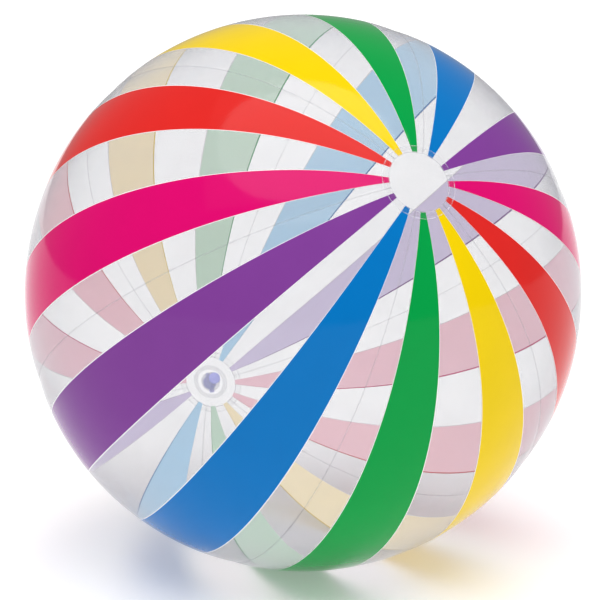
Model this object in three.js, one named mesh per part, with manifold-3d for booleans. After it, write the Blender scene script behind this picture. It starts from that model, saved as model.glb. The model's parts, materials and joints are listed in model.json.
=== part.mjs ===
// An inflatable beach ball, blown up and lying on a floor.
//
// Six clear film panels run from pole to pole, each printed with two colour stripes. A plain round cap
// closes one pole. The cap on the other pole carries the valve: a flange, a soft cone that lets the stem be
// pushed in or pulled out, the stem itself, its stopper on a strap and a check flap at its inner end.
//
// Millimetres, +Z up. The origin is the middle of the small patch where the ball is pressed flat on the
// floor. The poles lie in the YZ plane: the plain cap looks forward (-Y) and up, the valve back and down.

import * as THREE from 'three';
import { mergeVertices } from 'three/addons/utils/BufferGeometryUtils.js';
import Module from 'manifold-3d';

// Driving dimensions of the ball.
const BALL_RADIUS = 340;
const FILM = 0.3;
const POLE_TILT = 32; // degrees, of the line through the poles above the floor
const FLOOR_PATCH_RADIUS = 38;
const PANEL_COUNT = 6;
const FIRST_SEAM = 37; // degrees round the pole axis, from its upper side towards -X
const PANEL_HOLE_RADIUS = 36.2; // where the panels end at each pole
const CAP_RADIUS = 44;
const GAP = 0.3; // left between pieces that touch

// Driving dimensions of the valve. Heights run outward along the pole axis from the ball's surface.
const CAP_HOLE_RADIUS = 18;
const FLANGE_INNER_RADIUS = 13.5;
const FLANGE_OUTER_RADIUS = 24;
const FLANGE_THICKNESS = 0.8;
const CONE_THICKNESS = 0.6;
const CONE_FOOT_HEIGHT = -15;
const CONE_FULLNESS = 0.6; // how far the cone runs level at its edges, as a share of its width
const STEM_RADIUS = 7.5;
const BORE_RADIUS = 5.75;
const STEM_INNER_END = -18;
const LIP_RADIUS = 8.8;
const LIP_TOP = 1.6;
const LIP_THICKNESS = 1.2;
const LIP_ROUNDING = 0.3;
const LIP_NECK = 0.5; // height of the taper below the lip
const HEAD_RADIUS = 9.5;
const HEAD_THICKNESS = 2.2;
const NUB_LENGTH = 6;
const NUB_HOLLOW_RADIUS = 2.4;
const NUB_END_WALL = 1;
const HEAD_CROWN = 0.3; // how far the middle of the head stands above its edge
const HEAD_CHAMFER = 0.4;
const HEAD_SHOULDER = 0.6;
const TAB_HALF_WIDTH = 3.2;
const TAB_OVERHANG = 1.2; // from the head's rim to the middle of the tab's round end
const TAB_THICKNESS = 1;
const STRAP_WIDTH = 6;
const STRAP_THICKNESS = 1;
const STRAP_BEND_RADIUS = 0.95; // to the middle of the strap's thickness
const STRAP_PIVOT_REACH = 13; // from the stem's axis to the middle of the bend
const STRAP_END_GAP = 0.4; // more than elsewhere, because a square end meets a round rim
const FLAP_RADIUS = 7.3;
const FLAP_THICKNESS = 0.8;
const FLAP_HINGE_REACH = 6.25; // from the stem's axis to the fold line

// Coarseness of the faceted surfaces.
const PANEL_STEP = 7.5; // degrees along a seam and across a panel
const PATCH_STEP = 1.6; // degrees, close to the floor patch
const PATCH_REACH = 10; // degrees
const TURNED_STEPS = 40;

const degrees = THREE.MathUtils.degToRad;
const flattening = BALL_RADIUS - Math.sqrt(BALL_RADIUS ** 2 - FLOOR_PATCH_RADIUS ** 2);
const centreHeight = BALL_RADIUS - flattening;
const headBottom = LIP_TOP + GAP;

// Axes of the ball: z runs to the plain pole, x is the upper side of the pole axis.
const plainPole = new THREE.Vector3(0, -Math.cos(degrees(POLE_TILT)), Math.sin(degrees(POLE_TILT)));
const upperSide = new THREE.Vector3(0, Math.sin(degrees(POLE_TILT)), Math.cos(degrees(POLE_TILT)));
const ballAxes = new THREE.Matrix4().makeBasis(
  upperSide,
  new THREE.Vector3().crossVectors(plainPole, upperSide),
  plainPole,
);

const towardsFloor = new THREE.Vector3(0, 0, -1).transformDirection(ballAxes.clone().transpose());

const wasm = await Module();
wasm.setup();

const film = new THREE.MeshStandardMaterial({
  color: 0xe6e6ea,
  roughness: 0.08,
  metalness: 0,
  transparent: true,
  opacity: 0.35,
});
const printedFilm = {
  red: new THREE.MeshStandardMaterial({ color: 0xe8352f, roughness: 0.15, metalness: 0 }),
  purple: new THREE.MeshStandardMaterial({ color: 0x7c4596, roughness: 0.15, metalness: 0 }),
  green: new THREE.MeshStandardMaterial({ color: 0x00a54b, roughness: 0.15, metalness: 0 }),
};
const valveVinyl = new THREE.MeshStandardMaterial({ color: 0xb9bfe0, roughness: 0.25, metalness: 0 });
const coneVinyl = new THREE.MeshStandardMaterial({ color: 0xd8dbea, roughness: 0.2, metalness: 0 });

// How far the ball's surface has dropped below its pole at a distance from the pole axis.
function domeDrop(radius) {
  return BALL_RADIUS - Math.sqrt(BALL_RADIUS ** 2 - radius ** 2);
}

// Equal steps from one value to just before another.
function evenSteps(from, to, step) {
  const count = Math.max(1, Math.round((to - from) / step));
  return Array.from({ length: count }, (_, i) => from + ((to - from) * i) / count);
}

// Grid lines across a panel, closer together around a centre where one is given.
function gridLines(from, to, fineCentre) {
  if (fineCentre === undefined) return [...evenSteps(from, to, PANEL_STEP), to];
  const fineFrom = fineCentre - PATCH_REACH;
  const fineTo = fineCentre + PATCH_REACH;
  return [
    ...evenSteps(from, fineFrom, PANEL_STEP),
    ...evenSteps(fineFrom, fineTo, PATCH_STEP),
    ...evenSteps(fineTo, to, PANEL_STEP),
    to,
  ];
}

// A point of a film skin, pressed flat where it would reach through the floor.
function skinPoint(colatitude, longitude, depth) {
  const radius = BALL_RADIUS - depth;
  const point = new THREE.Vector3(
    radius * Math.sin(degrees(colatitude)) * Math.cos(longitude),
    radius * Math.sin(degrees(colatitude)) * Math.sin(longitude),
    radius * Math.cos(degrees(colatitude)),
  );
  const through = point.dot(towardsFloor) - (centreHeight - depth);
  return through > 0 ? point.addScaledVector(towardsFloor, -through) : point;
}

// The triangles of a closed shell between two grids of rows by columns points, outer skin first.
function shellFaces(rows, columns) {
  const inner = rows * columns;
  const at = (row, column) => row * columns + column;
  const faces = [];
  for (let row = 0; row < rows - 1; row += 1) {
    for (let column = 0; column < columns - 1; column += 1) {
      const a = at(row, column);
      const b = at(row + 1, column);
      const c = at(row + 1, column + 1);
      const d = at(row, column + 1);
      faces.push(a, b, c, a, c, d);
      faces.push(a + inner, c + inner, b + inner, a + inner, d + inner, c + inner);
    }
  }
  const rim = [];
  for (let row = 0; row < rows - 1; row += 1) rim.push(at(row, 0));
  for (let column = 0; column < columns - 1; column += 1) rim.push(at(rows - 1, column));
  for (let row = rows - 1; row > 0; row -= 1) rim.push(at(row, columns - 1));
  for (let column = columns - 1; column > 0; column -= 1) rim.push(at(0, column));
  rim.forEach((a, i) => {
    const b = rim[(i + 1) % rim.length];
    faces.push(b, a, a + inner, b, a + inner, b + inner);
  });
  return faces;
}

// One gore of film between two seams, open at both poles.
function panelGeometry(startSeam) {
  const width = 360 / PANEL_COUNT;
  const hole = THREE.MathUtils.radToDeg(Math.asin(PANEL_HOLE_RADIUS / BALL_RADIUS));
  const onFloor = startSeam < 180 && startSeam + width > 180;
  const colatitudes = gridLines(hole, 180 - hole, onFloor ? 90 + POLE_TILT : undefined);
  const across = gridLines(startSeam, startSeam + width, onFloor ? 180 : undefined);
  const positions = [];
  for (const depth of [0, FILM]) {
    for (const colatitude of colatitudes) {
      const seamAllowance = Math.asin(GAP / 2 / (BALL_RADIUS * Math.sin(degrees(colatitude))));
      for (const line of across) {
        const share = (line - startSeam) / width;
        const longitude = degrees(line) + seamAllowance * (1 - 2 * share);
        positions.push(...skinPoint(colatitude, longitude, depth).toArray());
      }
    }
  }
  const geometry = new THREE.BufferGeometry();
  geometry.setAttribute('position', new THREE.Float32BufferAttribute(positions, 3));
  geometry.setIndex(shellFaces(colatitudes.length, across.length));
  geometry.computeVertexNormals();
  return geometry;
}

// A solid of revolution about +Z. The profile holds [radius, height] pairs, its outer side going up.
function turned(profile) {
  const points = profile.map(([radius, height]) => new THREE.Vector2(radius, height));
  return new THREE.LatheGeometry(points, TURNED_STEPS).rotateX(Math.PI / 2);
}

// Heights of a film disc that follows the ball, as [radius, height] pairs from one radius to another.
function domeLine(fromRadius, toRadius, height) {
  const count = 3;
  return Array.from({ length: count + 1 }, (_, i) => {
    const radius = fromRadius + ((toRadius - fromRadius) * i) / count;
    return [radius, height - domeDrop(radius)];
  });
}

// The plain cap, welded over the ends of the panels.
function plainCapGeometry() {
  return turned([...domeLine(0, CAP_RADIUS, GAP), ...domeLine(CAP_RADIUS, 0, GAP + FILM)]);
}

// A ring of film or vinyl that follows the ball.
function domeRing(innerRadius, outerRadius, bottom, thickness) {
  const under = domeLine(innerRadius, outerRadius, bottom);
  const over = domeLine(outerRadius, innerRadius, bottom + thickness);
  return turned([...under, ...over, under[0]]);
}

// The soft cone between flange and stem, turned in with the stem pushed home. Its edges lie level.
function coneGeometry() {
  const edgeHeight = -domeDrop(FLANGE_INNER_RADIUS) - FLANGE_THICKNESS / 2;
  const edge = new THREE.Vector2(FLANGE_INNER_RADIUS - GAP, edgeHeight);
  const foot = new THREE.Vector2(STEM_RADIUS + GAP, CONE_FOOT_HEIGHT);
  const bow = new THREE.Vector2((edge.x - foot.x) * CONE_FULLNESS, 0);
  const wall = new THREE.CubicBezierCurve(edge, edge.clone().sub(bow), foot.clone().add(bow), foot);
  const steps = 8;
  const side = (outward) => Array.from({ length: steps + 1 }, (_, i) => {
    const point = wall.getPoint(i / steps);
    const along = wall.getTangent(i / steps);
    const shift = (outward * CONE_THICKNESS) / 2;
    return [point.x - along.y * shift, point.y + along.x * shift];
  });
  const profile = [...side(1).reverse(), ...side(-1)];
  return turned([...profile, profile[0]]);
}

// The stem: a tube with a rolled lip outside and a plain inner end.
function stemGeometry() {
  return turned([
    [BORE_RADIUS, STEM_INNER_END],
    [STEM_RADIUS, STEM_INNER_END],
    [STEM_RADIUS, LIP_TOP - LIP_THICKNESS - LIP_NECK],
    [LIP_RADIUS - LIP_ROUNDING, LIP_TOP - LIP_THICKNESS],
    [LIP_RADIUS, LIP_TOP - LIP_THICKNESS / 2],
    [LIP_RADIUS - LIP_ROUNDING, LIP_TOP],
    [BORE_RADIUS, LIP_TOP],
    [BORE_RADIUS, STEM_INNER_END],
  ]);
}

// The widest the nub may be at a height and still swing out past the far side of the bore's mouth.
function nubRadius(height) {
  const mouthReach = STRAP_PIVOT_REACH + BORE_RADIUS - GAP;
  return Math.sqrt(mouthReach ** 2 - (strapPivotHeight() - height) ** 2) - STRAP_PIVOT_REACH;
}

function strapPivotHeight() {
  return LIP_TOP - LIP_THICKNESS / 2 + STRAP_BEND_RADIUS;
}

// A closed geometry as a solid that can be joined or cut.
function toSolid(geometry) {
  const bare = geometry.clone();
  bare.deleteAttribute('normal');
  bare.deleteAttribute('uv');
  const merged = mergeVertices(bare, 1e-4);
  return new wasm.Manifold(new wasm.Mesh({
    numProp: 3,
    vertProperties: new Float32Array(merged.attributes.position.array),
    triVerts: new Uint32Array(merged.index.array),
  }));
}

function fromSolid(solid) {
  const mesh = solid.getMesh();
  const geometry = new THREE.BufferGeometry();
  geometry.setAttribute('position', new THREE.BufferAttribute(mesh.vertProperties, 3));
  geometry.setIndex(new THREE.BufferAttribute(mesh.triVerts, 1));
  geometry.computeVertexNormals();
  return geometry;
}

// The stopper: a low domed head, a hollow tapered nub and a finger tab on the side away from the strap.
function stopperGeometry() {
  const nubEnd = headBottom - NUB_LENGTH;
  const nubHeights = [nubEnd, nubEnd + NUB_LENGTH / 3, nubEnd + (2 * NUB_LENGTH) / 3, headBottom];
  const hollowTop = headBottom - NUB_END_WALL;
  const headTop = headBottom + HEAD_THICKNESS;
  const headEdge = headTop - HEAD_CROWN;
  const head = toSolid(turned([
    [0, hollowTop],
    [NUB_HOLLOW_RADIUS, hollowTop],
    [NUB_HOLLOW_RADIUS, nubEnd],
    ...nubHeights.map((height) => [nubRadius(height), height]),
    [HEAD_RADIUS - HEAD_CHAMFER, headBottom],
    [HEAD_RADIUS, headBottom + HEAD_CHAMFER],
    [HEAD_RADIUS, headEdge - HEAD_SHOULDER],
    [HEAD_RADIUS - HEAD_SHOULDER, headEdge],
    [HEAD_RADIUS / 2, headTop - HEAD_CROWN / 6],
    [0, headTop],
  ]));
  const tab = toSolid(fingerTab(headBottom + HEAD_CHAMFER));
  return fromSolid(head.add(tab));
}

// A flat tongue with a round end, reaching out over the cone's far side.
function fingerTab(height) {
  const root = HEAD_RADIUS * 0.6; // well inside the head, so that the two join
  const reach = HEAD_RADIUS + TAB_OVERHANG;
  const outline = new THREE.Shape();
  outline.moveTo(-TAB_HALF_WIDTH, -root);
  outline.lineTo(-TAB_HALF_WIDTH, -reach);
  outline.absarc(0, -reach, TAB_HALF_WIDTH, Math.PI, 2 * Math.PI, false);
  outline.lineTo(TAB_HALF_WIDTH, -root);
  outline.closePath();
  const tongue = new THREE.ExtrudeGeometry(outline, {
    depth: TAB_THICKNESS,
    bevelEnabled: false,
    curveSegments: 10,
  });
  return tongue.translate(0, 0, height);
}

// The strap from the lip to the stopper's head, doubled back on itself with the stopper closed.
function strapGeometry() {
  const middle = strapPivotHeight();
  const outer = STRAP_BEND_RADIUS + STRAP_THICKNESS / 2;
  const inner = STRAP_BEND_RADIUS - STRAP_THICKNESS / 2;
  const lipEnd = LIP_RADIUS + STRAP_END_GAP;
  const headEnd = HEAD_RADIUS + STRAP_END_GAP;
  const outline = new THREE.Shape();
  outline.moveTo(lipEnd, middle - outer);
  outline.lineTo(STRAP_PIVOT_REACH, middle - outer);
  outline.absarc(STRAP_PIVOT_REACH, middle, outer, -Math.PI / 2, Math.PI / 2, false);
  outline.lineTo(headEnd, middle + outer);
  outline.lineTo(headEnd, middle + inner);
  outline.lineTo(STRAP_PIVOT_REACH, middle + inner);
  outline.absarc(STRAP_PIVOT_REACH, middle, inner, Math.PI / 2, -Math.PI / 2, true);
  outline.lineTo(lipEnd, middle - inner);
  outline.closePath();
  const band = new THREE.ExtrudeGeometry(outline, {
    depth: STRAP_WIDTH,
    bevelEnabled: false,
    curveSegments: 8,
  });
  // The outline's plane becomes the YZ plane, with the width along X.
  const turn = new THREE.Matrix4().makeBasis(
    new THREE.Vector3(0, 1, 0),
    new THREE.Vector3(0, 0, 1),
    new THREE.Vector3(1, 0, 0),
  );
  return band.translate(0, 0, -STRAP_WIDTH / 2).applyMatrix4(turn);
}

// A piece of the flap's disc, on one side of the fold line.
function flapPiece(foldAt, moving) {
  const foldAngle = Math.asin(foldAt / FLAP_RADIUS);
  const outline = new THREE.Shape();
  const [from, to] = moving
    ? [foldAngle, Math.PI - foldAngle]
    : [Math.PI - foldAngle, 2 * Math.PI + foldAngle];
  outline.absarc(0, 0, FLAP_RADIUS, from, to, false);
  outline.closePath();
  const disc = new THREE.ExtrudeGeometry(outline, {
    depth: FLAP_THICKNESS,
    bevelEnabled: false,
    curveSegments: moving ? 40 : 10,
  });
  return disc.translate(0, 0, STEM_INNER_END - GAP - FLAP_THICKNESS);
}

function addPiece(group, name, geometry, material) {
  const mesh = new THREE.Mesh(geometry, material);
  mesh.name = name;
  group.add(mesh);
}

// The six panels, named after the two stripes each one carries.
function addPanels(ball) {
  const stripes = ['red_magenta', 'purple_blue', 'green_yellow'];
  for (let i = 0; i < PANEL_COUNT; i += 1) {
    const pair = stripes[i % stripes.length];
    const seam = FIRST_SEAM + (i * 360) / PANEL_COUNT;
    addPiece(ball, `panel_${i + 1}_${pair}`, panelGeometry(seam), printedFilm[pair.split('_')[0]]);
  }
}

// The valve's own axes have z pointing out of the ball and y towards the floor.
function valveGroup() {
  const valve = new THREE.Group();
  valve.position.set(0, 0, -BALL_RADIUS);
  valve.setRotationFromMatrix(new THREE.Matrix4().makeBasis(
    new THREE.Vector3(0, -1, 0),
    new THREE.Vector3(-1, 0, 0),
    new THREE.Vector3(0, 0, -1),
  ));
  addPiece(valve, 'valve_pole_cap', domeRing(CAP_HOLE_RADIUS, CAP_RADIUS, GAP, FILM), film);
  const flange = domeRing(FLANGE_INNER_RADIUS, FLANGE_OUTER_RADIUS, -FLANGE_THICKNESS, FLANGE_THICKNESS);
  addPiece(valve, 'valve_flange', flange, coneVinyl);
  addPiece(valve, 'valve_diaphragm', coneGeometry(), coneVinyl);
  addPiece(valve, 'valve_stem', stemGeometry(), valveVinyl);
  addPiece(valve, 'valve_stopper', stopperGeometry(), valveVinyl);
  addPiece(valve, 'stopper_strap', strapGeometry(), valveVinyl);
  addPiece(valve, 'check_flap', flapPiece(-FLAP_HINGE_REACH + GAP / 2, true), valveVinyl);
  addPiece(valve, 'flap_weld_tab', flapPiece(-FLAP_HINGE_REACH - GAP / 2, false), valveVinyl);
  return valve;
}

function beachBall() {
  const ball = new THREE.Group();
  ball.position.set(0, 0, centreHeight);
  ball.setRotationFromMatrix(ballAxes);
  addPanels(ball);
  const plainCap = new THREE.Group();
  plainCap.position.set(0, 0, BALL_RADIUS);
  addPiece(plainCap, 'plain_pole_cap', plainCapGeometry(), film);
  ball.add(plainCap);
  ball.add(valveGroup());
  const object = new THREE.Group();
  object.add(ball);
  return object;
}

export default beachBall();
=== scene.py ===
"""A large inflated beach ball of clear striped film, with its pole caps and push-in valve."""

import json
import math

import bpy
import numpy as np
from mathutils import Matrix, Vector


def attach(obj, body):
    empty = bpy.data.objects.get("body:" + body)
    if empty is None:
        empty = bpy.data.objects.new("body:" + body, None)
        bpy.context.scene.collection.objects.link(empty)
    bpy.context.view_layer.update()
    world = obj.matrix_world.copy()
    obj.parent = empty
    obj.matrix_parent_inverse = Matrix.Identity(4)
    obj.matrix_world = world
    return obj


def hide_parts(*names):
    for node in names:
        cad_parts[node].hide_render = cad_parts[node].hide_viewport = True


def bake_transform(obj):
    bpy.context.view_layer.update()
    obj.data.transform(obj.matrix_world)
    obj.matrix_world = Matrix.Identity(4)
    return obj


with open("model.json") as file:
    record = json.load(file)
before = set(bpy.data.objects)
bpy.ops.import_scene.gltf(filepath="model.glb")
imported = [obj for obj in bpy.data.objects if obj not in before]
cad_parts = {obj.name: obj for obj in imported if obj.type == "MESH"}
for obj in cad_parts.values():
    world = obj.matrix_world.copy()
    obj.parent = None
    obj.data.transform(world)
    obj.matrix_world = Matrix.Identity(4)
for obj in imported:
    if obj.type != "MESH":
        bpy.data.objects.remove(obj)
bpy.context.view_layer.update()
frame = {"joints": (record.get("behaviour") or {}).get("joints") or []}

bl_info = {
    "name": "Striped beach ball",
    "version": (1, 0, 0),
    "blender": (4, 5, 0),
    "location": "View3D > Sidebar > Beach ball",
    "description": "Builds a clear inflatable beach ball with printed stripes and a push-in valve",
    "category": "Add Mesh",
}

MM = 0.001
PANELS = 6
STRIPE_PAIRS = (("red", "magenta"), ("purple", "blue"), ("green", "yellow"))

# The valve's axis and the stopper's pivot come from the frame; the ball's centre follows from them.
JOINTS = {joint["name"]: joint for joint in frame["joints"]}
OUTWARD = Vector(JOINTS["stem_pull"]["axis"]).normalized()
SIDEWAYS = Vector((1, 0, 0))
DOWNWARD = OUTWARD.cross(SIDEWAYS)
STOPPER_PIVOT = Vector(JOINTS["stopper_hinge"]["pos_m"])
PIVOT_REACH = 13 * MM
PIVOT_HEIGHT = 1.95 * MM
BALL_RADIUS = 340 * MM
VALVE_POLE = STOPPER_PIVOT - DOWNWARD * PIVOT_REACH - OUTWARD * PIVOT_HEIGHT
CENTRE = VALVE_POLE - OUTWARD * BALL_RADIUS


def axes_matrix(x, y, z, place):
    """The matrix that takes a piece from its own axes to the frame."""
    turn = Matrix((x, y, z)).transposed().to_4x4()
    return Matrix.Translation(place) @ turn


# In the ball's own axes z runs to the plain pole and x is the upper side of the pole line.
BALL_AXES = axes_matrix(-DOWNWARD, -SIDEWAYS, -OUTWARD, CENTRE)
# In the valve's own axes z runs out of the ball and y towards the floor.
VALVE_AXES = axes_matrix(SIDEWAYS, DOWNWARD, OUTWARD, VALVE_POLE)

# What the properties for lengths and for colours have in common.
LENGTH = {"unit": "LENGTH", "precision": 5}
COLOUR = {"subtype": "COLOR", "size": 3, "min": 0, "max": 1}


class BallSizes(bpy.types.PropertyGroup):
    """Sizes of the film panels, their print and the pole caps."""

    film: bpy.props.FloatProperty(
        name="Film", description="Thickness of the film", default=0.3 * MM, **LENGTH
    )
    first_seam: bpy.props.FloatProperty(
        name="First seam",
        description="Angle of the first seam round the pole line, from its upper side",
        default=math.radians(37), subtype="ANGLE",
    )
    hole: bpy.props.FloatProperty(
        name="Panel hole", description="Radius at which the panels end", default=36.2 * MM, **LENGTH
    )
    cap: bpy.props.FloatProperty(
        name="Cap", description="Radius of the pole caps", default=44 * MM, **LENGTH
    )
    stripe: bpy.props.FloatProperty(
        name="Stripe", description="Angle that a stripe takes up",
        default=math.radians(14.6), subtype="ANGLE",
    )
    underprint: bpy.props.FloatProperty(
        name="Underprint", description="Width of the white line that shows beside each stripe",
        default=1.1 * MM, **LENGTH,
    )
    weld: bpy.props.FloatProperty(
        name="Weld", description="Width of a seam's weld", default=1.9 * MM, **LENGTH
    )
    weld_rise: bpy.props.FloatProperty(
        name="Weld height", description="Height of a seam's weld over the film",
        default=0.2 * MM, **LENGTH,
    )
    cap_rise: bpy.props.FloatProperty(
        name="Cap height", description="Height of the caps' outer face over the film",
        default=0.4 * MM, **LENGTH,
    )
    floor_give: bpy.props.FloatProperty(
        name="Floor rounding", description="Softness of the edge of the flat patch on the floor",
        default=0.5 * MM, **LENGTH,
    )


class BallColours(bpy.types.PropertyGroup):
    """Colours of the inks, the film and the valve."""

    red: bpy.props.FloatVectorProperty(
        name="Red", description="Red ink", default=(0.69, 0.02, 0.0165), **COLOUR
    )
    magenta: bpy.props.FloatVectorProperty(
        name="Magenta", description="Magenta ink", default=(0.68, 0.001, 0.143), **COLOUR
    )
    purple: bpy.props.FloatVectorProperty(
        name="Purple", description="Purple ink", default=(0.2, 0.045, 0.285), **COLOUR
    )
    blue: bpy.props.FloatVectorProperty(
        name="Blue", description="Blue ink", default=(0.0, 0.165, 0.49), **COLOUR
    )
    green: bpy.props.FloatVectorProperty(
        name="Green", description="Green ink", default=(0.0, 0.32, 0.057), **COLOUR
    )
    yellow: bpy.props.FloatVectorProperty(
        name="Yellow", description="Yellow ink", default=(0.85, 0.6, 0.0), **COLOUR
    )
    film: bpy.props.FloatVectorProperty(
        name="Film", description="Tint of the clear film", default=(0.5, 0.503, 0.545), **COLOUR
    )
    valve: bpy.props.FloatVectorProperty(
        name="Valve", description="Soft vinyl of the valve", default=(0.42, 0.44, 0.84), **COLOUR
    )


class ValveSizes(bpy.types.PropertyGroup):
    """Sizes of the push-in valve. Heights run outward from the ball's surface."""

    cap_hole: bpy.props.FloatProperty(
        name="Cap hole", description="Radius of the hole in the valve's cap",
        default=18 * MM, **LENGTH,
    )
    flange_inner: bpy.props.FloatProperty(
        name="Flange mouth", description="Inner radius of the flange", default=13.5 * MM, **LENGTH
    )
    flange_outer: bpy.props.FloatProperty(
        name="Flange", description="Outer radius of the flange", default=24 * MM, **LENGTH
    )
    flange_thickness: bpy.props.FloatProperty(
        name="Flange thickness", description="Thickness of the flange", default=0.8 * MM, **LENGTH
    )
    cone_wall: bpy.props.FloatProperty(
        name="Cone wall", description="Thickness of the soft cone", default=0.6 * MM, **LENGTH
    )
    cone_foot: bpy.props.FloatProperty(
        name="Cone foot", description="Height at which the cone meets the stem",
        default=-15 * MM, **LENGTH,
    )
    stem_radius: bpy.props.FloatProperty(
        name="Stem", description="Outer radius of the stem", default=7.5 * MM, **LENGTH
    )
    bore_radius: bpy.props.FloatProperty(
        name="Bore", description="Radius of the stem's bore", default=5.75 * MM, **LENGTH
    )
    stem_end: bpy.props.FloatProperty(
        name="Stem end", description="Height of the stem's inner end", default=-18 * MM, **LENGTH
    )
    lip_radius: bpy.props.FloatProperty(
        name="Lip", description="Outer radius of the stem's lip", default=8.8 * MM, **LENGTH
    )
    lip_top: bpy.props.FloatProperty(
        name="Lip top", description="Height of the lip's top", default=1.6 * MM, **LENGTH
    )
    lip_thickness: bpy.props.FloatProperty(
        name="Lip thickness", description="Thickness of the lip", default=1.2 * MM, **LENGTH
    )
    head_radius: bpy.props.FloatProperty(
        name="Stopper head", description="Radius of the stopper's head", default=9.5 * MM, **LENGTH
    )
    head_thickness: bpy.props.FloatProperty(
        name="Head thickness", description="Thickness of the stopper's head",
        default=2.2 * MM, **LENGTH,
    )
    nub_length: bpy.props.FloatProperty(
        name="Nub", description="Length of the nub that closes the bore", default=6 * MM, **LENGTH
    )
    nub_hollow: bpy.props.FloatProperty(
        name="Nub hollow", description="Radius of the hollow in the nub", default=2.4 * MM, **LENGTH
    )
    tab_width: bpy.props.FloatProperty(
        name="Finger tab", description="Width of the finger tab", default=6.4 * MM, **LENGTH
    )
    tab_thickness: bpy.props.FloatProperty(
        name="Tab thickness", description="Thickness of the finger tab", default=1 * MM, **LENGTH
    )
    strap_width: bpy.props.FloatProperty(
        name="Strap", description="Width of the strap", default=6 * MM, **LENGTH
    )
    strap_thickness: bpy.props.FloatProperty(
        name="Strap thickness", description="Thickness of the strap", default=1 * MM, **LENGTH
    )
    strap_bend: bpy.props.FloatProperty(
        name="Strap bend", description="Radius of the strap's bend, to its middle",
        default=0.95 * MM, **LENGTH,
    )
    flap_radius: bpy.props.FloatProperty(
        name="Flap", description="Radius of the check flap", default=7.3 * MM, **LENGTH
    )
    flap_thickness: bpy.props.FloatProperty(
        name="Flap thickness", description="Thickness of the check flap", default=0.8 * MM, **LENGTH
    )
    flap_hinge: bpy.props.FloatProperty(
        name="Flap hinge", description="Distance of the fold line from the stem's axis",
        default=6.25 * MM, **LENGTH,
    )


class StageSettings(bpy.types.PropertyGroup):
    """The floor, the light and the camera."""

    floor_size: bpy.props.FloatProperty(
        name="Floor", description="Width of the floor", default=60, **LENGTH
    )
    floor_glow: bpy.props.FloatProperty(
        name="Floor glow", description="Light that the white floor gives off by itself",
        default=0.26,
    )
    floor_colour: bpy.props.FloatVectorProperty(
        name="Floor colour", description="Paint of the floor", default=(0.93, 0.93, 0.93), **COLOUR
    )
    backdrop: bpy.props.FloatProperty(
        name="Backdrop", description="Brightness of the white backdrop behind the floor",
        default=1.05,
    )
    world_light: bpy.props.FloatProperty(
        name="World light", description="Strength of the even light from all sides", default=0.36
    )
    sun_light: bpy.props.FloatProperty(
        name="Sun light", description="Strength of the wide lamp overhead", default=2.4
    )
    key_light: bpy.props.FloatProperty(
        name="Key light", description="Power of the soft box", default=14, unit="POWER"
    )
    azimuth: bpy.props.FloatProperty(
        name="Camera azimuth", description="Direction of the camera round the ball",
        default=math.radians(-26.16), subtype="ANGLE",
    )
    elevation: bpy.props.FloatProperty(
        name="Camera elevation", description="Height angle of the camera",
        default=math.radians(12.10), subtype="ANGLE",
    )
    distance: bpy.props.FloatProperty(
        name="Camera distance", description="Distance from the ball's centre",
        default=2.557, **LENGTH,
    )
    lens: bpy.props.FloatProperty(
        name="Lens", description="Focal length", default=124.7, unit="CAMERA"
    )
    shift: bpy.props.FloatVectorProperty(
        name="Shift", description="Shift of the camera's view",
        default=(-0.0052, -0.0117), size=2, precision=4,
    )


# ---------------------------------------------------------------- shader maths


class Wire:
    """A shader socket on which Python's operators add Math nodes."""

    def __init__(self, nodes, socket):
        self.nodes = nodes
        self.socket = socket

    def _maths(self, operation, first, second):
        return self.nodes.add("ShaderNodeMath", {"operation": operation}, {0: first, 1: second})

    def __add__(self, other):
        return self._maths("ADD", self, other)

    __radd__ = __add__

    def __sub__(self, other):
        return self._maths("SUBTRACT", self, other)

    def __rsub__(self, other):
        return self._maths("SUBTRACT", other, self)

    def __mul__(self, other):
        return self._maths("MULTIPLY", self, other)

    __rmul__ = __mul__

    def __pow__(self, other):
        return self._maths("POWER", self, other)

    def __rpow__(self, other):
        return self._maths("POWER", other, self)


class Nodes:
    """A node tree, and the one way in which nodes are added to it."""

    def __init__(self, tree):
        self.tree = tree

    def fill(self, into, value):
        """Links a wire to a socket, or sets the socket's own value."""
        if isinstance(value, Wire):
            self.tree.links.new(value.socket, into)
        else:
            into.default_value = value

    def add(self, kind, settings, sockets, output=0):
        """A new node of a kind: its settings come first, then its sockets' values or links."""
        node = self.tree.nodes.new(kind)
        for key, value in settings.items():
            setattr(node, key, value)
        for key, value in sockets.items():
            self.fill(node.inputs[key], value)
        return Wire(self, node.outputs[output])


class Finish(Nodes):
    """A new material with one Principled shader."""

    def __init__(self, name, **sockets):
        self.material = bpy.data.materials.new(name)
        self.material.use_nodes = True
        super().__init__(self.material.node_tree)
        self.shader = self.tree.nodes["Principled BSDF"]
        for socket, value in sockets.items():
            self.feed(socket.replace("_", " "), value)

    def feed(self, socket, value):
        self.fill(self.shader.inputs[socket], value)

    def noise(self, scale, detail):
        """Noise from 0 to 1 on Object coordinates. The scale is in grains per metre."""
        place = self.add("ShaderNodeTexCoord", {}, {}, "Object")
        sockets = {"Vector": place, "Scale": scale, "Detail": detail}
        return self.add("ShaderNodeTexNoise", {}, sockets, "Fac")

    def mottle(self, share, first, second):
        """Base colour between two, as the share runs from 0 to 1."""
        sockets = {0: share, 6: (*first, 1), 7: (*second, 1)}
        mixed = self.add("ShaderNodeMix", {"data_type": "RGBA"}, sockets, 2)
        self.feed("Base Color", mixed)
        return mixed

    def bump(self, height, strength, distance):
        sockets = {"Height": height, "Strength": strength, "Distance": distance}
        self.feed("Normal", self.add("ShaderNodeBump", {}, sockets))


def shade(colour, factor):
    return tuple(min(1.0, channel * factor) for channel in colour[:3])


# ---------------------------------------------------------------- finishes

# At its rim, where the film is seen edge on, it hides more: this much, by this power of the slant.
RIM_BODY = 0.8
RIM_POWER = 5
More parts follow.
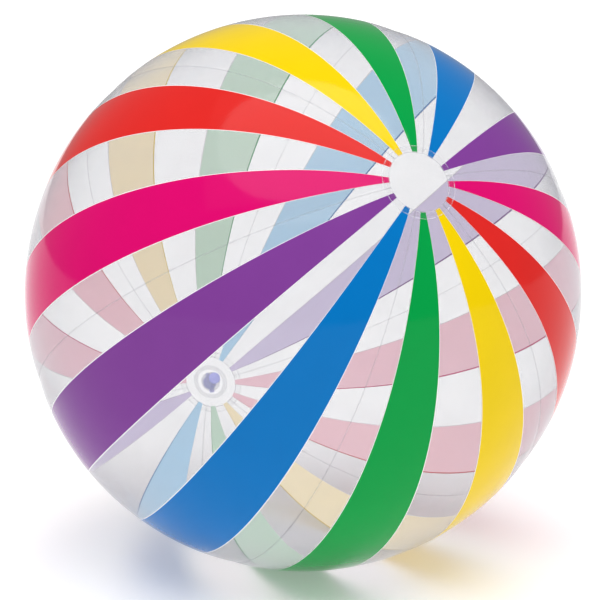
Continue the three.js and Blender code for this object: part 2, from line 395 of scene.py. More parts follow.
# Height of the slack waves in the film.
WAVE = 1.2 * MM


def clear_film(name, tint, body, roughness=0.07, waviness=0.35):
    """Clear glossy film: body is how much one skin of it hides, seen straight on."""
    film = Finish(name, Roughness=roughness, IOR=1.5)
    haze = film.noise(14, 3)
    film.mottle(haze, shade(tint, 0.92), shade(tint, 1.08))
    slant = film.add("ShaderNodeLayerWeight", {}, {"Blend": 0.5}, "Facing")
    film.feed("Alpha", ((haze - 0.5) * 0.5 + 1) * body + slant ** RIM_POWER * RIM_BODY)
    film.bump(film.noise(9, 2) + film.noise(160, 1) * 0.05, waviness, WAVE)
    return film.material


def weld_film(name, tint, body, whiteness):
    """Two skins pressed into one, slightly frosted, with the fine ribs of the welding bar."""
    film = Finish(name, Roughness=0.28, IOR=1.5)
    grain = film.noise(420, 2)
    film.mottle(grain, shade(tint, whiteness), shade(tint, 1.25 * whiteness))
    film.feed("Alpha", (grain + 0.5) * body)
    film.bump(grain, 0.5, 0.25 * MM)
    return film.material


def ink(name, colour):
    """Opaque glossy ink on the outer skin, with a very slight mottle."""
    layer = Finish(name, Roughness=0.09, IOR=1.2)
    speckle = layer.noise(26, 3) * 0.6 + layer.noise(900, 1) * 0.4
    layer.mottle(speckle, shade(colour, 0.93), shade(colour, 1.05))
    layer.bump(layer.noise(9, 2) + layer.noise(520, 1) * 0.04, 0.3, WAVE)
    return layer.material


# How much of each ink's red, green and blue comes through the white underprint to the inside.
SHOW_THROUGH = {
    "red": (0.35, 0.47, 0.41),
    "magenta": (0.35, 0.45, 0.44),
    "purple": (0.47, 0.46, 0.31),
    "blue": (0.62, 0.41, 0.25),
    "green": (0.49, 0.4, 0.47),
    "yellow": (0.35, 0.45, 0.5),
}


def ink_back(name, colour, strength):
    """A stripe seen from inside, paled by the white underprint. Its glow is painted light: it
    stands in for the outside light that the stripe lets through.
    """
    pale = tuple(1 - share * (1 - channel) for share, channel in zip(strength, colour))
    # The emission is a painted glow, not a lamp: the pale colour is given off as light in place of
    # light let through the ink.
    back = Finish(name, Roughness=0.3, IOR=1.35, Emission_Color=(*pale, 1), Emission_Strength=0.24)
    back.mottle(back.noise(35, 3), shade(pale, 0.94), shade(pale, 1.03))
    back.bump(back.noise(9, 2), 0.3, WAVE)
    return back.material


def underprint(name):
    """The white layer under the inks."""
    white = Finish(name, Roughness=0.3, IOR=1.45)
    white.mottle(white.noise(300, 2), (0.86, 0.86, 0.88), (0.93, 0.93, 0.94))
    return white.material


def valve_vinyl(name, colour, body):
    """Moulded soft vinyl: milky, half clear and a little uneven in depth, with a painted glow that
    lifts its shaded parts.
    """
    # The emission is a painted glow, not a lamp: it stands in for light coming through the vinyl
    # and lightens it where it lies in shade.
    vinyl = Finish(name, IOR=1.48, Coat_Weight=0.3, Coat_Roughness=0.12, Emission_Strength=0.25)
    cloud = vinyl.noise(120, 3)
    milk = vinyl.mottle(cloud, shade(colour, 0.85), shade(colour, 1.2))
    # The mottled colour is also the colour of the painted glow.
    vinyl.feed("Emission Color", milk)
    vinyl.feed("Alpha", (cloud - 0.5) * 0.1 + body)
    vinyl.feed("Roughness", vinyl.noise(260, 2) * 0.16 + 0.16)
    vinyl.bump(vinyl.noise(700, 2), 0.25, 0.1 * MM)
    return vinyl.material


MADE = {}


def finish(name):
    """The finish of that name, made when it is first asked for."""
    if name not in MADE:
        MADE[name] = make_finish(name)
    return MADE[name]


def make_finish(name):
    colours = bpy.context.scene.beach_ball_colours
    if name.endswith("_ink"):
        return ink(name, getattr(colours, name[: -len("_ink")]))
    if name.endswith("_ink_back"):
        colour = name[: -len("_ink_back")]
        return ink_back(name, getattr(colours, colour), SHOW_THROUGH[colour])
    tint = tuple(colours.film)
    milky = tuple(0.33 * clear + 0.25 * blue for clear, blue in zip(tint, colours.valve))
    recipes = {
        "clear_film": (clear_film, tint, 0.17),
        "cap_film": (clear_film, tint, 0.16, 0.2, 0.2),
        "sealed_film": (clear_film, tint, 0.025, 0.12, 0.2),
        "weld_film": (weld_film, tint, 0.09, 0.85),
        "weld_line": (weld_film, tint, 0.24, 1.5),
        "white_underprint": (underprint,),
        "valve_vinyl": (valve_vinyl, tuple(colours.valve), 0.66),
        "milky_vinyl": (valve_vinyl, milky, 0.36),
        "clear_vinyl": (valve_vinyl, shade(tint, 1.1), 0.16),
    }
    recipe, *amounts = recipes[name]
    return recipe(name, *amounts)


# ---------------------------------------------------------------- mesh helpers

# Vertices nearer than this are one.
MERGE = 0.002 * MM


def start_clean():
    """Object mode with nothing selected, which every primitive starts from."""
    if bpy.context.object is not None and bpy.context.object.mode != "OBJECT":
        object_mode()
    bpy.ops.object.select_all(action="DESELECT")


def object_mode():
    bpy.ops.object.mode_set(mode="OBJECT")


def primitive(add, scale=(1, 1, 1), **settings):
    """A new primitive, with its place, turn and scale in its mesh."""
    start_clean()
    add(**settings)
    piece = bpy.context.object
    piece.scale = scale
    bpy.ops.object.transform_apply(location=True, rotation=True, scale=True)
    return piece


def edit(piece):
    """Edit mode, with the whole piece selected."""
    bpy.context.view_layer.objects.active = piece
    bpy.ops.object.mode_set(mode="EDIT")
    select_all()


def select_all():
    bpy.ops.mesh.select_all(action="SELECT")


def edit_some(piece, chosen):
    """Edit mode, with only the vertices selected whose place makes chosen true."""
    edit(piece)
    bpy.ops.mesh.select_mode(type="VERT")
    bpy.ops.mesh.select_all(action="DESELECT")
    object_mode()
    for vertex in piece.data.vertices:
        vertex.select = bool(chosen(vertex.co))
    bpy.ops.object.mode_set(mode="EDIT")


def extrude(move):
    bpy.ops.mesh.extrude_region_move(TRANSFORM_OT_translate={"value": move})


def end_edit(merge=MERGE):
    """Merges doubles, points the faces outwards and leaves edit mode."""
    select_all()
    bpy.ops.mesh.remove_doubles(threshold=merge)
    bpy.ops.mesh.normals_make_consistent(inside=False)
    object_mode()


def points(piece):
    """All the piece's vertices as an array."""
    found = np.empty(len(piece.data.vertices) * 3)
    piece.data.vertices.foreach_get("co", found)
    return found.reshape(-1, 3)


def move_points(piece, places):
    piece.data.vertices.foreach_set("co", places.reshape(-1))
    piece.data.update()


def polar(places):
    """Radius, colatitude and longitude of places about their own z axis."""
    radius = np.linalg.norm(places, axis=1)
    colatitude = np.arccos(np.clip(places[:, 2] / radius, -1, 1))
    return radius, colatitude, np.arctan2(places[:, 1], places[:, 0])


def face_middles(piece):
    middles = np.empty(len(piece.data.polygons) * 3)
    piece.data.polygons.foreach_get("center", middles)
    return middles.reshape(-1, 3)


def number_faces(piece, numbers):
    """Gives each face the number of its finish."""
    piece.data.polygons.foreach_set("material_index", numbers.astype(np.int32))


def set_in_place(piece, name, matrix):
    """Names the piece and puts its place into its mesh."""
    piece.name = name
    piece.data.name = name
    piece.data.transform(matrix)
    piece.data.update()


def apply_modifier(piece, name, kind, **settings):
    modifier = piece.modifiers.new(name, kind)
    for key, value in settings.items():
        setattr(modifier, key, value)
    bpy.context.view_layer.objects.active = piece
    bpy.ops.object.modifier_apply(modifier=modifier.name)


def bevel(piece, width, segments=3, angle=32):
    apply_modifier(
        piece, "edges", "BEVEL", width=width, segments=segments, limit_method="ANGLE",
        angle_limit=math.radians(angle),
    )


def smooth(piece):
    bpy.ops.object.select_all(action="DESELECT")
    piece.select_set(True)
    bpy.context.view_layer.objects.active = piece
    bpy.ops.object.shade_smooth_by_angle(angle=math.radians(40))
    piece.select_set(False)


def give_finishes(piece, *finishes):
    """Fills the piece's material slots, before Solidify copies the faces' numbers to its wall."""
    for name in finishes:
        piece.data.materials.append(finish(name))


def finish_piece(piece, body, slot, *nodes):
    """Attaches the piece to its body if one is given, and hides the nodes that it stands for. The
    slot is not used.
    """
    if body:
        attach(piece, body)
    if nodes:
        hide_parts(*nodes)


def finish_valve_piece(piece, name, body, node, look="valve_vinyl", slot="valve_vinyl"):
    """Puts a piece of the valve in its place, gives it its look, attaches it to its body and hides
    the node that it stands for. The slot is not used.
    """
    set_in_place(piece, name, VALVE_AXES)
    smooth(piece)
    give_finishes(piece, look)
    finish_piece(piece, body, slot, node)


# ---------------------------------------------------------------- the film's shape

# How deep the film dips inside the perfect sphere, and how far from its cause each dip fades.
VALLEY, VALLEY_FADE = 1.5 * MM, 16 * MM
PUCKER, PUCKER_FADE, PUCKER_LENGTH = 0.34 * MM, 11 * MM, 2.3 * MM
CREASE, CREASE_FADE, CREASES_ROUND = 0.42 * MM, 34 * MM, 19
SWAY = 0.5 * MM
# Points of the full circle from which a seam's arc is cut.
ARC_POINTS = 900


def waves(at, seed, octaves):
    """A smooth uneven wave between about -1 and 1 along a line."""
    total = np.zeros_like(at)
    for index in range(octaves):
        share = 1 / (1 + index * 0.6)
        total += share * np.sin(at * (1 + 0.618 * index) + seed * (1.3 + index))
    return total / octaves


def ramp(value, start, end):
    """0 before start, 1 after end and smooth between them."""
    share = np.clip((value - start) / (end - start), 0, 1)
    return share * share * (3 - 2 * share)


def skin_depth(colatitude, longitude, first_seam):
    """How far the film lies inside the perfect sphere: valleys and puckers at seams and caps."""
    step = 2 * math.pi / PANELS
    past_seam = np.mod(longitude - first_seam, step)
    seam_number = np.floor_divide(longitude - first_seam + step / 2, step)
    reach = np.sin(colatitude)
    away = np.minimum(past_seam, step - past_seam) * reach * BALL_RADIUS
    along = colatitude * BALL_RADIUS
    from_pole = np.minimum(colatitude, math.pi - colatitude) * BALL_RADIUS
    off_cap = ramp(from_pole, 46 * MM, 110 * MM)
    valley = VALLEY * np.exp(-away / VALLEY_FADE) * off_cap
    near_seam = np.exp(-away / PUCKER_FADE) * ramp(away, 0, 4 * MM) * off_cap
    pucker = PUCKER * waves(along / PUCKER_LENGTH, seam_number * 2.1 + 0.4, 3) * near_seam
    near_cap = np.exp(-np.clip(from_pole - 44 * MM, 0, None) / CREASE_FADE)
    near_cap *= ramp(from_pole, 37 * MM, 50 * MM)
    creases = CREASE * waves(longitude * CREASES_ROUND, 0.7, 3) * near_cap
    sway = SWAY * np.sin(3 * longitude + 1.1) * np.sin(2 * colatitude + 0.4) * reach * off_cap
    return valley + pucker + creases + sway


def shape_skin(piece, lift, settings):
    """Moves a piece from the perfect sphere onto the real film, a little above or below it."""
    places = points(piece)
    radius, colatitude, longitude = polar(places)
    depth = skin_depth(colatitude, longitude, settings.first_seam)
    move_points(piece, places * ((BALL_RADIUS + lift - depth) / radius)[:, None])


def rest_on_floor(piece, lift, settings):
    """Presses the film flat where it would reach through the floor. The piece is in the frame."""
    places = points(piece)
    height = places[:, 2] - lift
    places[:, 2] = lift + (height + np.sqrt(height ** 2 + settings.floor_give ** 2)) / 2
    move_points(piece, places)


def seam_longitude(number, settings):
    return settings.first_seam + number * 2 * math.pi / PANELS


def seam_arc(longitude, settings):
    """A wire arc on the sphere at a longitude, from one end of a seam to the other."""
    arc = primitive(
        bpy.ops.mesh.primitive_circle_add, vertices=ARC_POINTS, radius=BALL_RADIUS,
        fill_type="NOTHING", rotation=(math.pi / 2, 0, 0),
    )
    edit(arc)
    bpy.ops.mesh.bisect(plane_co=(0, 0, 0), plane_no=(-1, 0, 0), clear_outer=True)
    hole = math.asin(settings.hole / BALL_RADIUS)
    for angle, sign in ((hole, 1), (math.pi - hole, -1)):
        height = BALL_RADIUS * math.cos(angle)
        select_all()
        bpy.ops.mesh.bisect(plane_co=(0, 0, height), plane_no=(0, 0, sign), clear_outer=True)
    object_mode()
    arc.data.transform(Matrix.Rotation(longitude, 4, "Z"))
    edit(arc)
    return arc


def spin_edges(angle, columns):
    bpy.ops.mesh.spin(steps=columns, angle=angle, center=(0, 0, 0), axis=(0, 0, -1))


# ---------------------------------------------------------------- film panels

# Numbers of a panel's finishes. All but PLAIN and BORDER have the stripe's number, 1 or 2, added.
PLAIN, INK, BORDER, BORDER_BLEED, INK_BLEED = 0, 0, 3, 3, 5
# How much narrower a stripe's end is, from what angle off the pole, and over what angle it fades.
TAPER, TAPER_START, TAPER_FADE = 0.34, 6, 4.2
# A weld is spun over this angle and then set to its width, with a wavy edge and a low crown.
WELD_SPREAD = 0.01
WELD_RIPPLE, WELD_RIPPLE_LENGTH = 0.06, 3.1 * MM
WELD_CROWN = 0.12 * MM


def stripe_share(colatitude):
    """A stripe's width near the poles as a share of its full width."""
    from_pole = np.degrees(np.minimum(colatitude, math.pi - colatitude))
    return 1 - TAPER * np.exp(-(from_pole - TAPER_START) / TAPER_FADE)


def panel_bands(settings):
    """The panel's bands from seam to seam, as (angle, columns, finish number)."""
    line = settings.underprint / BALL_RADIUS
    plain = (2 * math.pi / PANELS - 2 * settings.stripe) / 4
    near_seam = [(plain * 0.06, 2, PLAIN), (plain * 0.24, 5, PLAIN)]
    middle = [(plain * 0.3, 4, PLAIN)]
    gap = [(plain * 0.7 - line, 5, PLAIN)]
    bands = []
    for stripe, before, after in ((1, near_seam, middle), (2, middle, near_seam[::-1])):
        printed = [
            (line, 1, BORDER_BLEED + stripe),
            (line, 1, INK_BLEED + stripe),
            (settings.stripe - line, 11, INK + stripe),
            (line, 1, BORDER),
        ]
        bands += before + gap + printed + gap + after
    return bands


def paint_bands(piece, bands, start):
    """Gives each column of faces the number of its band's finish."""
    _, _, longitude = polar(face_middles(piece))
    ends = np.cumsum([width for width, _, _ in bands])
    band = np.searchsorted(ends, np.mod(longitude - start, 2 * math.pi))
    numbers = np.array([number for _, _, number in bands])
    number_faces(piece, numbers[np.clip(band, 0, len(bands) - 1)])


def taper_stripes(piece, bands, start):
    """Narrows the stripes towards the poles by sliding vertices along their parallels."""
    places = points(piece)
    radius, colatitude, longitude = polar(places)
    margin = 1e-6
    longitude = np.mod(longitude - start + margin, 2 * math.pi) - margin
    quarter = math.pi / PANELS / 2
    stripe = sum(width for width, _, number in bands if number != PLAIN) / 4
    share = stripe_share(colatitude)
    moved = longitude.copy()
    for centre in (quarter, 3 * quarter):
        offset = longitude - centre
        size = np.abs(offset)
        within = np.minimum(size, stripe) * share
        spread = (quarter - stripe * share) / (quarter - stripe)
        beyond = np.clip(size - stripe, 0, None) * spread
        slid = centre + np.sign(offset) * (within + beyond)
        moved = np.where(size <= quarter, slid, moved)
    set_longitudes(places, radius * np.sin(colatitude), moved + start)
    move_points(piece, places)


def set_longitudes(places, flat, longitude):
    """Turns places to new longitudes, at their distances from the z axis."""
    places[:, 0] = flat * np.cos(longitude)
    places[:, 1] = flat * np.sin(longitude)


def panel(number, settings):
    """One gore of film: an arc spun from seam to seam, printed, shaped and given its thickness."""
    start = seam_longitude(number, settings)
    piece = seam_arc(start, settings)
    bands = panel_bands(settings)
    for width, columns, _ in bands:
        spin_edges(width, columns)
    end_edit(0.005 * MM)
    paint_bands(piece, bands, start)
    taper_stripes(piece, bands, start)
    shape_skin(piece, 0, settings)
    first, second = STRIPE_PAIRS[number % len(STRIPE_PAIRS)]
    inks = [f"{first}_ink", f"{second}_ink"]
    backs = [f"{first}_ink_back", f"{second}_ink_back"]
    outer = ["clear_film", *inks, *["white_underprint"] * 3, *inks]
    # The underprint misses each ink along one side, so the ink shows inside as a bright line.
    inner = ["clear_film", *backs, "white_underprint", *inks, *inks]
    give_finishes(piece, *outer, *inner)
    apply_modifier(
        piece, "film", "SOLIDIFY", thickness=settings.film, offset=-1, material_offset=len(outer)
    )
    set_in_place(piece, f"film_panel_{number + 1}_{first}_{second}", BALL_AXES)
    rest_on_floor(piece, 0, settings)
    smooth(piece)
    finish_piece(piece, "ball", "printed_film", f"panel_{number + 1}_{first}_{second}")


def seam_weld(number, settings):
    """The narrow weld over a seam: a strip as wide at the poles as at the middle."""
    piece = seam_arc(-WELD_SPREAD / 2, settings)
    spin_edges(WELD_SPREAD, 4)
    end_edit(0.001 * MM)
    places = points(piece)
    radius, colatitude, longitude = polar(places)
    share = longitude / WELD_SPREAD
    along = colatitude * BALL_RADIUS
    ripple = 1 + WELD_RIPPLE * waves(along / WELD_RIPPLE_LENGTH, number, 3)
    flat = radius * np.sin(colatitude)
    seam = seam_longitude(number, settings)
    set_longitudes(places, flat, seam + share * settings.weld * ripple / flat)
    move_points(piece, places)
    shape_skin(piece, settings.weld_rise, settings)
    places = points(piece)
    crown = WELD_CROWN * (1 - (2 * share) ** 2)
    radius = np.linalg.norm(places, axis=1)
    move_points(piece, places * (1 + crown / radius)[:, None])
    give_finishes(piece, "weld_film")
    apply_modifier(piece, "weld", "SOLIDIFY", thickness=settings.weld_rise * 0.9, offset=-1)
    set_in_place(piece, f"seam_weld_{number + 1}", BALL_AXES)
    rest_on_floor(piece, -settings.film, settings)
    smooth(piece)
    finish_piece(piece, "ball", "printed_film")


# ---------------------------------------------------------------- turned pieces


def lathe(profile, steps, ends):
    """Turns (radius, height) pairs about z, by extruding a ring and resizing it at each step.

    ends is "ring" for a section that comes back to its first point, "solid" for one whose two
    ends are closed on the axis, "disc" for a skin closed at its last point, and "open" for a
    skin that is closed at neither."""
    radius, height = profile[0]
    piece = primitive(
        bpy.ops.mesh.primitive_circle_add, vertices=steps, radius=radius,
        fill_type="TRIFAN" if ends == "solid" else "NOTHING", location=(0, 0, height),
    )
    edit(piece)
    for next_radius, next_height in profile[1:] + (profile[:1] if ends == "ring" else []):
        extrude((0, 0, next_height - height))
        factor = next_radius / radius
        centre = (0, 0, next_height)
        bpy.ops.transform.resize(value=(factor, factor, 1), center_override=centre)
        radius, height = next_radius, next_height
    if ends == "disc":
        bpy.ops.mesh.edge_face_add()
        bpy.ops.mesh.poke()
    end_edit()
    return piece


def dome_drop(radius):
    """How far the ball has dropped below its pole at a distance from the pole line."""
    return BALL_RADIUS - math.sqrt(BALL_RADIUS ** 2 - radius ** 2)


def even_line(start, end, steps):
    return [start + (end - start) * index / steps for index in range(steps + 1)]


# Numbers of a cap's finishes: over the ball's clear inside, over the panels' ends, and on a weld.
CAP_CLEAR, CAP_SEALED, CAP_LINE = 0, 1, 2
# The raised rings that the welds leave, and the slack of the film between them.
RING_RISE, RING_WIDTH = 0.16 * MM, 0.45 * MM
CAP_SLACK, CAP_SLACK_LENGTH = 0.22 * MM, 7 * MM
# Steps round a cap, round the valve's wide pieces and round its stem and stopper.
CAP_STEPS, WIDE_STEPS, STEM_STEPS = 192, 128, 96


def pole_cap(name, node, hole, side, settings):
    """A disc of film over the panels' ends, with the fine raised rings that its welds leave.

    side is 1 at the plain pole and -1 at the valve's."""
    reaches = even_line(settings.cap, hole or 0.6 * MM, 76)
    profile = [(reach, side * (BALL_RADIUS - dome_drop(reach))) for reach in reaches]
    piece = lathe(profile, CAP_STEPS, "open" if hole else "disc")
    places = points(piece)
    reach = np.hypot(places[:, 0], places[:, 1])
    turn = np.arctan2(places[:, 1], places[:, 0])
    rings = [settings.cap - 0.5 * MM, settings.hole + 0.8 * MM]
    if hole:
        rings += [hole + 0.6 * MM, hole + 5.4 * MM]
    lift = np.full(len(places), settings.cap_rise)
    for ring in rings:
        lift += RING_RISE * np.exp(-(((reach - ring) / RING_WIDTH) ** 2))
    slack = ramp(reach, 2 * MM, 12 * MM) * (1 - ramp(reach, 31 * MM, 36 * MM))
    slack *= 0.4 if hole else 1
    lift += CAP_SLACK * waves(turn * 5 + reach / CAP_SLACK_LENGTH, 1.9, 3) * slack
    shape_skin(piece, lift, settings)
    from_axis = np.hypot(*face_middles(piece)[:, :2].T)
    sealed = from_axis > settings.hole
    line = (from_axis > settings.cap - 0.8 * MM) | (sealed & (from_axis < settings.hole + 0.5 * MM))
    give_finishes(piece, "cap_film", "sealed_film", "weld_line")
    number_faces(piece, np.where(line, CAP_LINE, np.where(sealed, CAP_SEALED, CAP_CLEAR)))
    apply_modifier(piece, "film", "SOLIDIFY", thickness=settings.film, offset=-1)
    set_in_place(piece, name, BALL_AXES)
    smooth(piece)
    finish_piece(piece, "ball", "clear_film", node)


# ---------------------------------------------------------------- the valve


def valve_flange(valve):
    """The flat ring welded under the cap, with a bead round its mouth and fine moulded rings."""
    reaches = even_line(valve.flange_inner, valve.flange_outer, 30)
    over = []
    for reach in reaches:
        from_mouth = reach - valve.flange_inner
        bead = 0.25 * MM * math.exp(-((from_mouth / (0.9 * MM)) ** 2))
        rib = 0.042 * MM * math.cos(from_mouth / (0.85 * MM) * math.pi) * (reach > valve.cap_hole)
        over.append((reach, -dome_drop(reach) - 0.05 * MM + rib + bead))
    under = [(reach, -dome_drop(reach) - valve.flange_thickness) for reach in reversed(reaches)]
    piece = lathe(over + under, WIDE_STEPS, "ring")
    bevel(piece, 0.12 * MM, 2, 50)
    finish_valve_piece(piece, "flange", "ball", "valve_flange", "clear_vinyl", "clear_vinyl")


def valve_cone(valve):
    """The thin soft cone that lets the stem be pushed in, with the rolls its moulding leaves."""
    mouth = valve.flange_inner
    edge = (mouth - 0.1 * MM, -dome_drop(mouth) - valve.flange_thickness / 2)
    foot = (valve.stem_radius + 0.1 * MM, valve.cone_foot)
    bow = 0.6 * (edge[0] - foot[0])
    controls = np.array([edge, (edge[0] - bow, edge[1]), (foot[0] + bow, foot[1]), foot])
    line = []
    for share in even_line(0, 1, 44):
        rest = 1 - share
        weights = (rest ** 3, 3 * share * rest ** 2, 3 * share ** 2 * rest, share ** 3)
        reach, height = (np.array(weights) @ controls).tolist()
        roll = 0.1 * MM * math.sin(share * 9 * math.pi) * math.sin(share * math.pi)
        line.append((reach + roll, height))
    piece = lathe(line, WIDE_STEPS, "open")
    apply_modifier(piece, "wall", "SOLIDIFY", thickness=valve.cone_wall, offset=0)
    bevel(piece, 0.12 * MM, 2, 50)
    finish_valve_piece(piece, "soft_cone", None, "valve_diaphragm", "milky_vinyl", "clear_vinyl")
    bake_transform(piece)


def valve_stem(valve):
    """The tube that is blown into, with a rolled lip and a seat ring half way down its bore."""
    lip = valve.lip_top - valve.lip_thickness
    middle = valve.stem_end / 2
    outer, bore = valve.stem_radius, valve.bore_radius
    profile = [
        (bore, valve.stem_end),
        (outer, valve.stem_end),
        (outer, valve.cone_foot - 0.8 * MM),
        (outer + 0.25 * MM, valve.cone_foot - 0.4 * MM),
        (outer + 0.25 * MM, valve.cone_foot + 0.4 * MM),
        (outer, valve.cone_foot + 0.8 * MM),
        (outer, lip - 0.5 * MM),
        (valve.lip_radius - 0.3 * MM, lip),
        (valve.lip_radius, lip + valve.lip_thickness / 2),
        (valve.lip_radius - 0.3 * MM, valve.lip_top),
        (bore + 0.4 * MM, valve.lip_top),
        (bore, valve.lip_top - 0.4 * MM),
        (bore, middle + 1.2 * MM),
        (bore - 0.2 * MM, middle + 0.5 * MM),
        (bore - 0.2 * MM, middle - 0.5 * MM),
        (bore, middle - 1.2 * MM),
    ]
    piece = lathe(profile, STEM_STEPS, "ring")
    bevel(piece, 0.18 * MM)
    finish_valve_piece(piece, "stem", "stem", "valve_stem")


def valve_stopper(valve):
    """The stopper: a domed head with a sunk ring, a hollow tapered nub and a ribbed finger tab."""
    bottom = valve.lip_top + 0.15 * MM
    top = bottom + valve.head_thickness
    edge = top - 0.35 * MM
    nub_end = bottom - valve.nub_length
    hollow = bottom - 1.0 * MM
    head = valve.head_radius
    # The nub's side is an arc about the hinge, so that it clears the bore as it swings out.
    nub = []
    for height in even_line(nub_end, bottom, 8):
        swing = (PIVOT_REACH + valve.bore_radius - 0.3 * MM) ** 2 - (PIVOT_HEIGHT - height) ** 2
        nub.append((math.sqrt(swing) - PIVOT_REACH, height))
    profile = [
        (0.4 * MM, hollow),
        (valve.nub_hollow, hollow),
        (valve.nub_hollow, nub_end),
        *nub,
        (head - 0.4 * MM, bottom),
        (head, bottom + 0.4 * MM),
        (head, edge - 0.6 * MM),
        (head - 0.6 * MM, edge),
        (head * 0.72, edge + 0.1 * MM),
        (head * 0.68, edge - 0.25 * MM),
        (head * 0.6, edge - 0.25 * MM),
        (head * 0.56, edge + 0.16 * MM),
        (head * 0.3, top - 0.08 * MM),
        (0.4 * MM, top),
    ]
    piece = lathe(profile, STEM_STEPS, "solid")
    join_solids(piece, finger_tab(valve, bottom + 0.45 * MM))
    bevel(piece, 0.16 * MM, 3, 38)
    finish_valve_piece(piece, "stopper", "stopper", "valve_stopper")


def finger_tab(valve, height):
    """A tongue with a round end on the side away from the strap, with three ribs for grip."""
    reach = -(valve.head_radius + 1.2 * MM)
    tab = primitive(
        bpy.ops.mesh.primitive_circle_add, vertices=48, radius=valve.tab_width / 2,
        fill_type="NGON", location=(0, reach, height),
    )
    edit_some(tab, lambda place: place.y > reach + 0.01 * MM)
    bpy.ops.transform.translate(value=(0, valve.head_radius * 0.55, 0))
    select_all()
    extrude((0, 0, valve.tab_thickness))
    end_edit()
    for row in range(3):
        rib = primitive(
            bpy.ops.mesh.primitive_cylinder_add, vertices=16, radius=0.3 * MM,
            depth=valve.tab_width * 0.55, rotation=(0, math.pi / 2, 0),
            location=(0, reach + (row * 1.1 - 0.9) * MM, height + valve.tab_thickness - 0.04 * MM),
        )
        join_solids(tab, rib)
    return tab


def join_solids(piece, other):
    """Adds another closed solid to a piece, and removes it as an object of its own."""
    apply_modifier(piece, "joined", "BOOLEAN", operation="UNION", object=other, solver="EXACT")
    bpy.data.objects.remove(other)


def stopper_strap(valve):
    """The flat strap from the lip to the stopper's head, doubled back on itself."""
    lower = PIVOT_HEIGHT - valve.strap_bend
    root = valve.lip_radius - 0.1 * MM
    piece = primitive(
        bpy.ops.mesh.primitive_plane_add, scale=(valve.strap_width, valve.strap_thickness, 1),
        size=1, location=(0, root, lower), rotation=(math.pi / 2, 0, 0),
    )
    edit(piece)
    for _ in range(6):
        extrude((0, (PIVOT_REACH - root) / 6, 0))
    bend = (0, PIVOT_REACH, PIVOT_HEIGHT)
    bpy.ops.mesh.spin(steps=16, angle=math.pi, center=bend, axis=(-1, 0, 0))
    for _ in range(5):
        extrude((0, (valve.head_radius - 0.2 * MM - PIVOT_REACH) / 5, 0))
    end_edit()
    bevel(piece, 0.2 * MM, 3, 50)
    finish_valve_piece(piece, "strap", None, "stopper_strap")
    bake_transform(piece)


def flap_disc(valve, name, node, body, is_tab):
    """One part of the round flap that closes the stem's inner end, cut at its fold line.

    The tab is the small part beyond the fold, by which the flap is welded to the stem."""
    piece = primitive(
        bpy.ops.mesh.primitive_circle_add, vertices=96, radius=valve.flap_radius,
        fill_type="NGON", location=(0, 0, valve.stem_end - 0.3 * MM),
    )
    edit(piece)
    fold = (0, -valve.flap_hinge + (-0.1 * MM if is_tab else 0.1 * MM), 0)
    bpy.ops.mesh.bisect(
        plane_co=fold, plane_no=(0, 1, 0), clear_outer=is_tab, clear_inner=not is_tab
    )
    select_all()
    extrude((0, 0, -valve.flap_thickness))
    if not is_tab:
        bpy.ops.mesh.inset(thickness=1.6 * MM)
        bpy.ops.transform.translate(value=(0, 0, 0.18 * MM))
    end_edit()
    bevel(piece, 0.14 * MM)
    finish_valve_piece(piece, name, body, node)


# ---------------------------------------------------------------- stage

# The soft box's direction from the ball and its width, and the tilt and width of the sun.
KEY_AZIMUTH, KEY_ELEVATION = math.radians(-40), math.radians(70)
KEY_DISTANCE, KEY_WIDTH = 3.2, 3.4
SUN_TILT = (math.radians(14), math.radians(-6), 0)
SUN_WIDTH = math.radians(60)
WHITE = (1, 1, 1, 1)


def stage_floor(stage):
    floor = primitive(bpy.ops.mesh.primitive_plane_add, size=stage.floor_size)
    floor.name = "floor"
    board = Finish(
        "floor_paint", Roughness=0.6, Specular_IOR_Level=0.15, Emission_Color=WHITE,
        Emission_Strength=stage.floor_glow,
    )
    board.mottle(board.noise(0.8, 2), shade(stage.floor_colour, 0.99), stage.floor_colour)
    floor.data.materials.append(board.material)


def look_back(azimuth, elevation):
    """The direction from the ball to a lamp or the camera."""
    return Vector((
        math.sin(azimuth) * math.cos(elevation),
        -math.cos(azimuth) * math.cos(elevation),
        math.sin(elevation),
    ))


def stage_lamps(stage):
    """A square soft box above the ball, and a wide sun overhead."""
    start_clean()
    back = look_back(KEY_AZIMUTH, KEY_ELEVATION)
    bpy.ops.object.light_add(type="AREA", location=CENTRE + back * KEY_DISTANCE)
    key = bpy.context.object
    key.name = "key_box"
    key.rotation_euler = back.to_track_quat("Z", "Y").to_euler()
    key.data.size = KEY_WIDTH
    key.data.energy = stage.key_light
    start_clean()
    bpy.ops.object.light_add(type="SUN", rotation=SUN_TILT)
    sun = bpy.context.object
    sun.name = "overhead_sun"
    sun.data.energy = stage.sun_light
    sun.data.angle = SUN_WIDTH


def stage_camera(stage):
    start_clean()
    back = look_back(stage.azimuth, stage.elevation)
    bpy.ops.object.camera_add(location=CENTRE + back * stage.distance)
    camera = bpy.context.object
    camera.name = "camera"
    camera.rotation_euler = back.to_track_quat("Z", "Y").to_euler()
    camera.data.lens = stage.lens
    camera.data.shift_x, camera.data.shift_y = stage.shift
    bpy.context.scene.camera = camera


